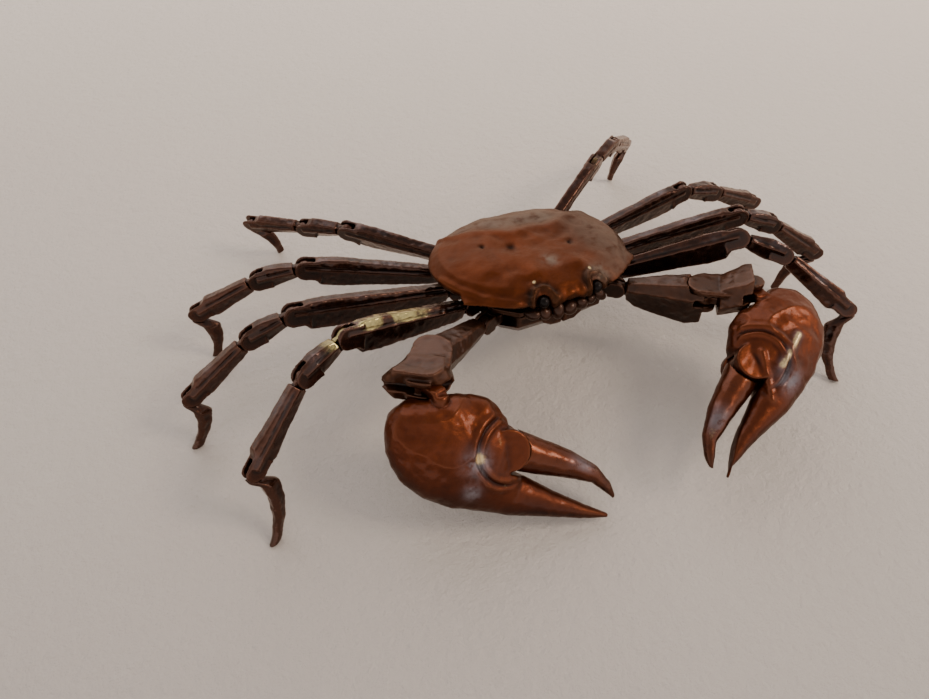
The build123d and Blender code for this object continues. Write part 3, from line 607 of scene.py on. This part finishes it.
def leg_gold_and_light(side, station, kind, points, up, t):
    if (side, station, kind) == ("right", "front", "merus"):
        return (step(0.25, 0.8, up) * step(-0.5, 0.35, lumps(points, 3.0, 5)) * step(0.25, 0.5, t)
                * step(1.1, 0.95, t))
    if (side, station, kind) == ("right", "front", "carpus"):
        return 0.8 * step(0.2, 0.8, up) * step(0.75, 0.2, t)
    # The far leg's paler top faces are painted light.
    if (side, station) == ("left", "rear"):
        return 0.5 * step(0.3, 0.8, up) * step(0.1, 0.6, lumps(points, 2.5, 9))
    return 0.0


def leg_piece(side, station, kind, seed):
    node = f"{side}_{station}_{kind}"
    obj = remeshed(node, LEG_CELLS[kind], 5)
    points, facing = coordinates(obj.data), normals(obj.data)
    origin, axes, length = limb_frame(node, points)
    u, v, w = ((points - origin) @ axes.T).T
    t = np.clip(u / length, 0.0, 1.0)
    free = step(1.7, 3.2, u)
    if kind != "dactyl":
        free = free * step(1.6, 2.9, length - u)
    points = origin + np.stack(leg_shape(kind, u, v, w, length, free), 1) @ axes
    rough = 0.13 * lumps(points, 2.6, seed) + 0.045 * noise(points, 0.75, seed + 3)
    points = points + facing * (rough * (0.12 + 0.88 * free))[:, None]
    up = facing[:, 2]
    # tone: painted lighter on faces turned up, as light from above; the far leg painted lighter still
    tone = LEG_TONE[kind] + 0.12 * up + (0.2 if (side, station) == ("left", "rear") else 0.0)
    # sheen: a painted highlight on the upper faces
    sheen = step(0.45, 0.95, up) * step(0.0, 0.5, lumps(points, 4.0, seed + 31)) * 0.5
    finish_piece(obj, node, points, tone, leg_gold_and_light(side, station, kind, points, up, t), sheen)


seed = 20
for side in SIDES:
    for station in STATIONS:
        for kind in LEG_CELLS:
            seed += 1
            leg_piece(side, station, kind, seed)
print("leg castings", len(made), "faces", sum(faces for _, faces in made))

# %% [markdown]
# ## Claw arms
#
# The arm and the wrist piece are dull brown plates with a rough skin. The crab's right arm, nearest
# to the camera, is fuller on its outer side. As on the legs, the skin is left alone near the hinges.

# %% Claw arms
CLAW_BLUR = dict(blur=18, proud=0.14)
OUTWARDS = np.array((-0.94, -0.34, 0.0))
ARM_FULLNESS = {"merus": 1.3, "carpus": 1.8}
ARM_TONE = {"merus": 0.22, "carpus": 0.45}
KEEL = {"left": 0.38, "right": 0.38 * 0.3}


def off_the_hinges(node, points):
    """1 on the free surface and 0 round a claw piece's own hinge and the next one."""
    free = step(2.6, 4.6, np.linalg.norm(points - place(hinge_of[node]), axis=1))
    if node in next_hinge:
        free = free * step(2.2, 4.2, np.linalg.norm(points - place(next_hinge[node]), axis=1))
    return free


def claw_arm(side, kind, seed):
    node = f"{side}_claw_{kind}"
    obj = remeshed(node, 0.19, 6)
    points, facing = coordinates(obj.data), normals(obj.data)
    up, free = facing[:, 2], off_the_hinges(node, points)
    origin, axes, length = limb_frame(node, points)
    u, v, w = ((points - origin) @ axes.T).T
    t = u / length
    if kind == "merus":
        v = np.where(v < 0, v * (1 + KEEL[side] * free), v)
        points = origin + np.stack([u, v, w], 1) @ axes
    if side == "right":
        amount = ARM_FULLNESS[kind] * step(0.3, 3.6, (points - origin) @ OUTWARDS)
        points = points + OUTWARDS * (amount * step(0.2, 0.6, t) * step(1.5, 0.9, t))[:, None]
    skin = 0.26 * lumps(points, 3.4, seed) + 0.07 * noise(points, 0.9, seed + 2)
    points = points + facing * (skin * free)[:, None]
    gold = 0.35 * step(0.4, 0.9, up) * step(0.3, 0.7, lumps(points, 2.0, seed + 6))
    # tone: painted lighter on faces turned up, as light falling from above
    finish_piece(obj, node, points, ARM_TONE[kind] + 0.25 * up, gold, 0.0, **CLAW_BLUR)


print("the right arm is fuller by up to", ARM_FULLNESS, "mm")

# %% [markdown]
# ## Glints on the palms
#
# Each palm has its own folds and painted glints: a hollow with a painted gold highlight and a painted
# sheen on the crab's right palm, and a pale painted highlight along a ridge on the left one. They are
# placed by their measured positions in millimetres.

# %% Marks of each palm


def right_palm_marks(points):
    hollow = spot(points, (-24.0, -29.9, 15.3), 1.8)
    lump = spot(points, (-19.4, -23.1, 18.2), 2.2) + 0.8 * spot(points, (-28.4, -22.8, 19.6), 3.0)
    rim = stroke(points, ((-19.6, -28.3, 16.0), (-21.0, -33.4, 10.3)), 0.6)
    # the gold spot and the gold along the rim are painted glints, and the returned sheen a painted highlight
    gold = 1.1 * spot(points, (-23.6, -29.6, 15.4), 1.1) + 0.5 * rim
    return hollow, lump, gold, hollow + 0.9 * spot(points, (-26.0, -32.1, 11.3), 1.2)


def left_palm_marks(points):
    hollow = 0.7 * spot(points, (28.2, -38.7, 15.7), 1.9)
    line = stroke(points, ((32.9, -33.7, 19.2), (27.8, -36.5, 17.3)), 0.7)
    lump = line + 0.8 * stroke(points, ((26.0, -33.4, 18.1), (24.2, -39.8, 13.9)), 0.6)
    # the gold line and the returned sheen are painted highlights along the ridge and in the hollow
    return hollow, lump, 0.9 * line, 1.3 * hollow + 0.5 * line


PALM_MARKS = {"left": left_palm_marks, "right": right_palm_marks}
print("palms with their own marks", list(PALM_MARKS))

# %% [markdown]
# ## Palms
#
# A palm is a lumpy dome with winding folds. Where the moving finger leaves it, two rims run round
# the finger's hinge like the collars of a sleeve. The fixed finger is part of the same casting.

# %% Palms
CLOSING = {"left": 1.3, "right": 0.12}


def palm_directions(node, points):
    """The way up across the fingers, and each point along, up and across from the finger's hinge."""
    hinge = next_hinge[node]
    centre, axis = place(hinge), np.array(hinge["axis"], float)
    x = farthest(points, place(hinge_of[node])) - centre
    x -= axis * (x @ axis)
    x /= np.linalg.norm(x)
    y = np.cross(axis, x)
    return y, ((points - centre) @ np.stack([x, y, axis]).T).T


def claw_palm(side, seed):
    node = f"{side}_claw_palm"
    obj = remeshed(node, 0.2, 6)
    points, facing = coordinates(obj.data), normals(obj.data)
    up, free = facing[:, 2], off_the_hinges(node, points)
    away = np.linalg.norm(points - place(hinge_of[node]), axis=1)
    y, (u, v, w) = palm_directions(node, points)
    closing = CLOSING[side] * step(3.0, 15.0, u) * step(0.5, -1.5, v)
    points = points + y * closing[:, None]
    ring = np.hypot(u, v)
    dome = step(3.0, 6.0, away) * step(4.2, 6.2, ring) * step(6.0, 0.0, u)
    form = (0.50 * lumps(points, 5.6, seed) + 0.42 * ridged(points, 6.5, seed + 5)
            + 0.07 * lumps(points, 1.6, seed + 4))
    points = points + facing * (form * dome)[:, None]
    rims = bell(4.5, 0.45, ring) + 0.8 * bell(5.9, 0.5, ring) - 0.7 * bell(5.2, 0.3, ring)
    points = points + facing * (0.34 * rims * step(1.6, 2.6, np.abs(w)) * step(5.0, 1.0, u))[:, None]
    # tone: painted lighter on faces turned up, as light falling from above
    tone = 0.18 + 0.85 * up + 0.2 * lumps(points, 6.0, seed + 2) - 0.35 * step(4.0, 12.0, u)
    hollow, lump, gold, sheen = PALM_MARKS[side](points)
    relief = 0.55 * lump - 0.55 * hollow + 0.04 * noise(points, 0.8, seed + 9) * free
    points = points + facing * relief[:, None]
    finish_piece(obj, node, points, tone, gold, sheen, **CLAW_BLUR)


print("the fixed fingers are raised by up to", CLOSING, "mm")

# %% [markdown]
# ## Moving fingers
#
# The fingers are the smoothest pieces, worn by handling. They are painted lighter where they face
# up, as light falling from above, darken towards the tip and carry a painted pale glint two thirds of
# the way along.

# %% Fingers, and both claws


def claw_finger(side, seed):
    node = f"{side}_claw_finger"
    obj = remeshed(node, 0.17, 6)
    points, facing = coordinates(obj.data), normals(obj.data)
    up, free = facing[:, 2], off_the_hinges(node, points)
    own = place(hinge_of[node])
    run = farthest(points, own) - own
    along = (points - own) @ (run / np.linalg.norm(run))
    reach = along.max()
    skin = 0.16 * lumps(points, 4.0, seed) + 0.03 * noise(points, 0.9, seed + 2)
    points = points + facing * (skin * free)[:, None]
    # tone: painted lighter on faces turned up, as light from above
    tone = 0.38 + 0.42 * up - 0.6 * step(0.72 * reach, reach, along)
    # gold and sheen: the painted pale glint, a painted highlight
    gold = 0.5 * step(0.6, 0.95, up) * bell(0.75 * reach, 2.2, along)
    sheen = 0.7 * bell(0.62 * reach, 2.0, along) * step(0.5, 0.95, up)
    finish_piece(obj, node, points, tone, gold, sheen, **CLAW_BLUR)


for side, shift in zip(SIDES, (0, 40)):
    claw_arm(side, "merus", 101 + shift)
    claw_arm(side, "carpus", 107 + shift)
    claw_palm(side, 113 + shift)
    claw_finger(side, 119 + shift)
print("castings", len(made), "faces", sum(faces for _, faces in made))

# %% [markdown]
# ## Shell: relief
#
# The shell is worked in the body's own directions. A curved ridge parts its front from its back, a
# groove runs across the middle, low bosses stand over the eyes, whose orbits have raised, crumbly
# rims, and the rim at the crab's right rolls over. The machined dome alone would look like a coin.

# %% Shell relief
shell = remeshed("carapace", 0.25, 7)
points, facing = coordinates(shell.data), normals(shell.data)
x, y, z = ((points - BODY_ORIGIN) @ BODY_AXES.T).T
plan = np.stack([x, y, np.zeros(len(x))], 1)
raised = facing @ BODY_AXES[2]
top = step(4.4, 5.6, z) * step(0.15, 0.5, raised)
ridge_line = 2.6 + 0.026 * (x - 3) ** 2 + 0.5 * np.sin(0.7 * x)
ridge = bell(0.0, 1.5, y - ridge_line)
gutter = bell(3.0, 1.7, y - ridge_line)
cervical = bell(0.0, 1.6, y + 2.2 - 0.035 * x * x) * step(13.0, 6.0, np.abs(x))
middle_groove = bell(0.0, 1.4, np.abs(x) - 4.1 - 0.25 * np.abs(y)) * step(7.0, 3.0, np.abs(y - 1.0))
front_bosses = bell(-9.6, 1.9, y) * (bell(4.0, 1.6, np.abs(x)) + 0.8 * bell(9.0, 1.9, np.abs(x)))
rim = stroke(plan, ((-18.6, -2.0, 0), (-17.0, -6.0, 0), (-14.1, -10.1, 0), (-9.6, -13.4, 0)), 0.6)
PITS = ((-4.1, -0.7, 0), 0.8), ((6.4, -3.7, 0), 0.7), ((-9.0, 1.0, 0), 0.6)
pits = sum(spot(plan, at, size) for at, size in PITS) * (0.5 + 0.5 * ridged(points, 1.5, 315))
eye_gap = np.hypot(np.abs(x) - 5.3, y + 14.3)
crumbs = bell(2.0, 1.1, eye_gap)
orbit = bell(1.9, 0.5, eye_gap) * step(3.6, 4.4, z)
lobes = bell(-14.6, 0.9, y) * (bell(0.0, 0.9, x) + bell(2.6, 0.8, np.abs(x)))
work = (0.34 * ridge - 0.30 * gutter - 0.20 * cervical - 0.16 * middle_groove + 0.45 * front_bosses
        + 0.55 * lumps(points, 7.0, 301) + 0.07 * lumps(points, 1.9, 307) + 0.35 * rim) - 0.5 * pits
work = work * top + (0.5 * orbit + 0.4 * lobes + 0.35 * crumbs * noise(points, 0.9, 317)) * step(3.4, 4.4, z)
points = points + facing * (work + 0.05 * noise(points, 0.8, 311) * (1 - top))[:, None]
print("shell relief from", round(float(work.min()), 2), "to", round(float(work.max()), 2), "mm")

# %% [markdown]
# ## Shell: patina
#
# The front is orange brown. Behind the ridge and towards the crab's left an olive grey sheen, a
# painted reflection, lies on the bronze, with two painted highlights; the flanks are painted darker as
# shade, the orbits stay dark, and two small specks over the eyes are bare.

# %% Shell patina
# behind: where the painted sheen lies, a painted reflection behind the ridge
behind = step(-1.0, 4.5, y - ridge_line + 1.2 * lumps(points, 4.0, 341)) * step(11.0, 7.0, x)
# flanks turned away from the top are painted darker, as shade
shaded_flank = step(0.50, 0.15, raised)
tone = (0.72 + 0.25 * lumps(points, 7.0, 321) - 0.35 * behind - 0.25 * step(2.0, 13.0, x) - 0.6 * shaded_flank
        - 0.7 * crumbs + 0.5 * spot(plan, (6.6, -9.8, 0), 2.2) - 0.5 * pits)
# sheen: painted reflection behind the ridge and on the crab's left, and two painted highlights
sheen = (0.62 * behind + 0.9 * spot(plan, (-0.2, -7.5, 0), 1.5) + 0.7 * spot(plan, (6.8, -12.2, 0), 1.8)
         + 0.45 * step(4.0, 14.0, x)) * top
gold = (spot(plan, (-5.5, -11.1, 0), 0.4) + spot(plan, (5.2, -11.6, 0), 0.4)) * top
finish_piece(shell, "carapace", points, tone, gold, sheen, blur=18, proud=0.22)
print("shell faces", made[-1][1])

# %% [markdown]
# ## Mouth plates and inner castings
#
# The mouth plates are lumpy. The castings inside only show in the gaps, and are worked inwards
# only, so that everything that turns beside them keeps its clearance.

# %% Mouth plates and inner castings
for side in SIDES:
    node = f"{side}_mouth_plate"
    plate = remeshed(node, 0.14, 6)
    points = coordinates(plate.data)
    points = points + normals(plate.data) * (0.16 * lumps(points, 1.8, 331))[:, None]
    finish_piece(plate, node, points, 0.5, 0.1, 0.0)
BODY_CASTINGS = ["thorax", "hip_plate", "tail_flap"]
for count, node in enumerate(BODY_CASTINGS + [node for node in nodes if node.endswith("_coxa")]):
    large = node in BODY_CASTINGS
    inner = remeshed(node, 0.2 if large else 0.14, 5)
    points = coordinates(inner.data)
    sunk = 0.04 + 0.10 * (0.5 + 0.5 * lumps(points, 1.8, 401 + count))
    points = points - normals(inner.data) * (sunk * (1.0 if large else 0.4))[:, None]
    finish_piece(inner, node, points, 0.15, 0.0, 0.0)
print("castings", len(made), "faces", sum(faces for _, faces in made))

# %% [markdown]
# ## Grains along a path
#
# Small cast grains edge the eye sockets, and larger ones hang under the shell's front edge. Each
# could be modelled, but Geometry Nodes repeats one: the tree takes a curve, spreads points along
# it, and puts a rough grain of random size on each. Its last two nodes make the copies real and
# give them their material.

# %% The grain row tree
TREE_INPUTS = {"Path": "NodeSocketGeometry", "Count": "NodeSocketInt", "Radius": "NodeSocketFloat",
               "Seed": "NodeSocketInt", "Finish": "NodeSocketMaterial"}


def grain_tree():
    tree = bpy.data.node_groups.new("grain_row", "GeometryNodeTree")
    for name, kind in TREE_INPUTS.items():
        tree.interface.new_socket(name, in_out="INPUT", socket_type=kind)
    tree.interface.new_socket("Grains", in_out="OUTPUT", socket_type="NodeSocketGeometry")
    new, link = tree.nodes.new, tree.links.new
    gin, gout = new("NodeGroupInput").outputs, new("NodeGroupOutput").inputs
    spread, grain = new("GeometryNodeCurveToPoints"), new("GeometryNodeMeshIcoSphere")
    link(gin["Path"], spread.inputs["Curve"])
    link(gin["Count"], spread.inputs["Count"])
    grain.inputs["Subdivisions"].default_value = 3
    link(gin["Radius"], grain.inputs["Radius"])
    sizes, turns = new("FunctionNodeRandomValue"), new("FunctionNodeRandomValue")
    sizes.data_type = turns.data_type = "FLOAT_VECTOR"
    sizes.inputs["Min"].default_value = (0.6, 0.6, 0.6)
    sizes.inputs["Max"].default_value = (1.25, 1.25, 1.1)
    turns.inputs["Max"].default_value = (6.28, 6.28, 6.28)
    drop = new("GeometryNodeInstanceOnPoints")
    for random, into in ((sizes, "Scale"), (turns, "Rotation")):
        link(gin["Seed"], random.inputs["Seed"])
        link(random.outputs["Value"], drop.inputs[into])
    link(spread.outputs["Points"], drop.inputs["Points"])
    link(grain.outputs["Mesh"], drop.inputs["Instance"])
    real, paint = new("GeometryNodeRealizeInstances"), new("GeometryNodeSetMaterial")
    link(drop.outputs["Instances"], real.inputs["Geometry"])
    link(real.outputs["Geometry"], paint.inputs["Geometry"])
    link(gin["Finish"], paint.inputs["Material"])
    link(paint.outputs["Geometry"], gout["Grains"])
    return tree


GRAINS = grain_tree()
SOCKET = {item.name: item.identifier for item in GRAINS.interface.items_tree if item.in_out == "INPUT"}
print("grain row inputs", SOCKET)

# %% [markdown]
# ## Rows on the figurine
#
# The tree runs on a path that is drawn in the body's directions, and its result is copied to a
# plain mesh that rides on the body. The row under the front edge stands for the knobbly mouth.

# %% Grain rows
GRAIN_TONE, GRAIN_EDGE = 0.35, 0.25


def grain_row(name, path, count, radius, seed, slot, body):
    """A row of grains along points in millimetres, as one plain mesh on a body."""
    curve = bpy.data.curves.new(name + "_path", "CURVE")
    curve.dimensions = "3D"
    spline = curve.splines.new("POLY")
    spline.points.add(len(path) - 1)
    for point, at in zip(spline.points, path):
        point.co = (*(np.array(at) / MM), 1)
    obj = bpy.data.objects.new(name + "_path", curve)
    bpy.context.scene.collection.objects.link(obj)
    row = obj.modifiers.new("grains", "NODES")
    row.node_group = GRAINS
    for key, value in (("Count", count), ("Radius", radius / MM), ("Seed", seed), ("Finish", material[slot])):
        row[SOCKET[key]] = value
    graph = bpy.context.evaluated_depsgraph_get()
    mesh = bpy.data.meshes.new_from_object(obj.evaluated_get(graph))
    bpy.data.objects.remove(obj)
    piece = bpy.data.objects.new(name, mesh)
    bpy.context.scene.collection.objects.link(piece)
    store(mesh, "tone", np.full(len(mesh.vertices), GRAIN_TONE))
    store(mesh, "edge", np.full(len(mesh.vertices), GRAIN_EDGE))
    smooth_shaded(mesh)
    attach(piece, body)
    made.append((name, len(mesh.polygons)))


for side, sign in zip(SIDES, (1, -1)):
    socket = [in_body(sign * 5.3 + 1.55 * math.cos(a), -13.7 + 1.1 * math.sin(a), 5.35)
              for a in np.linspace(0.1 * math.pi, 0.9 * math.pi, 9)]
    grain_row(f"{side}_socket_grains", socket, 16, 0.38, 4, "shell_bronze", "body")
front = [in_body(x, -14.5 + 0.022 * x * x, 2.5) for x in np.linspace(-6.8, 6.8, 9)]
grain_row("front_lumps", front, 7, 1.35, 8, "plate_bronze", "body")
print("pieces", len(made), "faces", sum(faces for _, faces in made))

# %% [markdown]
# ## Paper
#
# The crab stands on rough pale paper, painted brighter towards the back and the right as a pool of
# light from where the light comes from. A fine noise in the bump gives its tooth. The floor is only
# scenery, not part of the figurine.

# %% Floor
# painted shade at the front and painted light at the back of the paper
SHADED_FRONT_PAPER, LIT_BACK_PAPER = (0.52, 0.46, 0.425, 1), (1.0, 0.86, 0.74, 1)


def paper_material():
    mat = bpy.data.materials.new("paper")
    mat.use_nodes = True
    shader = mat.node_tree.nodes["Principled BSDF"]
    w = Wiring(mat.node_tree)
    fibre, cloud = w.cloud(420.0, 8.0, 0.7), w.cloud(14.0, 2.0, 0.5)
    split, along = w.new("ShaderNodeSeparateXYZ"), w.new("ShaderNodeMapRange")
    w.link(w.coords.outputs["Object"], split.inputs["Vector"])
    # painted light: the paper gets brighter towards the back and the right
    light_slant = w.math("MULTIPLY_ADD", split.outputs["X"], 0.6, split.outputs["Y"])
    w.link(light_slant, along.inputs["Value"])
    along.inputs["From Min"].default_value = -0.12
    along.inputs["From Max"].default_value = 0.28
    ramp = w.new("ShaderNodeValToRGB")
    for stop, color in zip(ramp.color_ramp.elements, (SHADED_FRONT_PAPER, LIT_BACK_PAPER)):
        stop.color = color
    w.link(w.math("MULTIPLY_ADD", cloud, 0.1, along.outputs["Result"]), ramp.inputs["Fac"])
    w.link(ramp.outputs["Color"], shader.inputs["Base Color"])
    w.link(w.bump(fibre, 0.9, 0.0012), shader.inputs["Normal"])
    shader.inputs["Roughness"].default_value = 0.9
    return mat


floor_mesh = bpy.data.meshes.new("floor")
bm = bmesh.new()
bmesh.ops.create_grid(bm, x_segments=2, y_segments=2, size=3.0)
bm.to_mesh(floor_mesh)
bm.free()
floor = bpy.data.objects.new("floor", floor_mesh)
floor.location.z = -0.0001
bpy.context.scene.collection.objects.link(floor)
floor_mesh.materials.append(paper_material())
print("floor", [round(v, 2) for v in floor.dimensions])

# %% [markdown]
# ## Light
#
# The room is bright low down and dimmer overhead, so that upright faces shine and the top of the
# shell keeps its colour. A large soft window stands behind, and a small warm lamp in front.

# %% Light
world = bpy.data.worlds.new("studio")
world.use_nodes = True
sky, link = world.node_tree.nodes, world.node_tree.links.new
around, height = sky.new("ShaderNodeTexCoord"), sky.new("ShaderNodeSeparateXYZ")
glow = sky.new("ShaderNodeValToRGB")
horizon, overhead = glow.color_ramp.elements
horizon.position, horizon.color = 0.0, (1.0, 0.95, 0.9, 1)
overhead.position, overhead.color = 0.85, (0.34, 0.32, 0.31, 1)
link(around.outputs["Generated"], height.inputs["Vector"])
link(height.outputs["Z"], glow.inputs["Fac"])
link(glow.outputs["Color"], sky["Background"].inputs["Color"])
sky["Background"].inputs["Strength"].default_value = 1.8
bpy.context.scene.world = world


def area_light(name, at, size, power, color):
    """A square light at a place, turned to the crab."""
    light = bpy.data.lights.new(name, "AREA")
    light.size, light.energy, light.color = size, power, color
    obj = bpy.data.objects.new(name, light)
    obj.location = at
    obj.rotation_euler = (-Vector(at)).to_track_quat("-Z", "Y").to_euler()
    bpy.context.scene.collection.objects.link(obj)


area_light("window", (0.10, 0.58, 0.52), 0.60, 1.8, (0.95, 0.97, 1.0))
area_light("lamp", (0.45, -0.30, 0.55), 0.22, 2.2, (1.0, 0.86, 0.7))
print("lights", [light.name for light in bpy.data.lights])

# %% [markdown]
# ## Camera
#
# The photograph was taken with a phone's wide lens close to the figurine, which makes the near claw
# large. The place, angles and focal length were solved from points seen in it. Angles are in radians.

# %% Camera
AZIMUTH, ELEVATION, ROLL = -0.493, 0.880, 0.034
CAMERA_AT = (-0.05077, -0.07434, 0.10374)
forward = Vector((-math.sin(AZIMUTH) * math.cos(ELEVATION), math.cos(AZIMUTH) * math.cos(ELEVATION),
                  -math.sin(ELEVATION)))
level = Vector((math.cos(AZIMUTH), math.sin(AZIMUTH), 0.0))
lift = level.cross(forward)
right = math.cos(ROLL) * level + math.sin(ROLL) * lift
above = -math.sin(ROLL) * level + math.cos(ROLL) * lift
lens = bpy.data.cameras.new("phone")
lens.lens, lens.sensor_width, lens.clip_start = 26.80, 36.0, 0.005
camera = bpy.data.objects.new("phone", lens)
turn = Matrix((right, above, -forward)).transposed().to_4x4()
camera.matrix_world = Matrix.Translation(CAMERA_AT) @ turn
bpy.context.scene.collection.objects.link(camera)
bpy.context.scene.camera = camera
print("camera", round(Vector(CAMERA_AT).length * MM), "mm from the middle, lens", lens.lens)
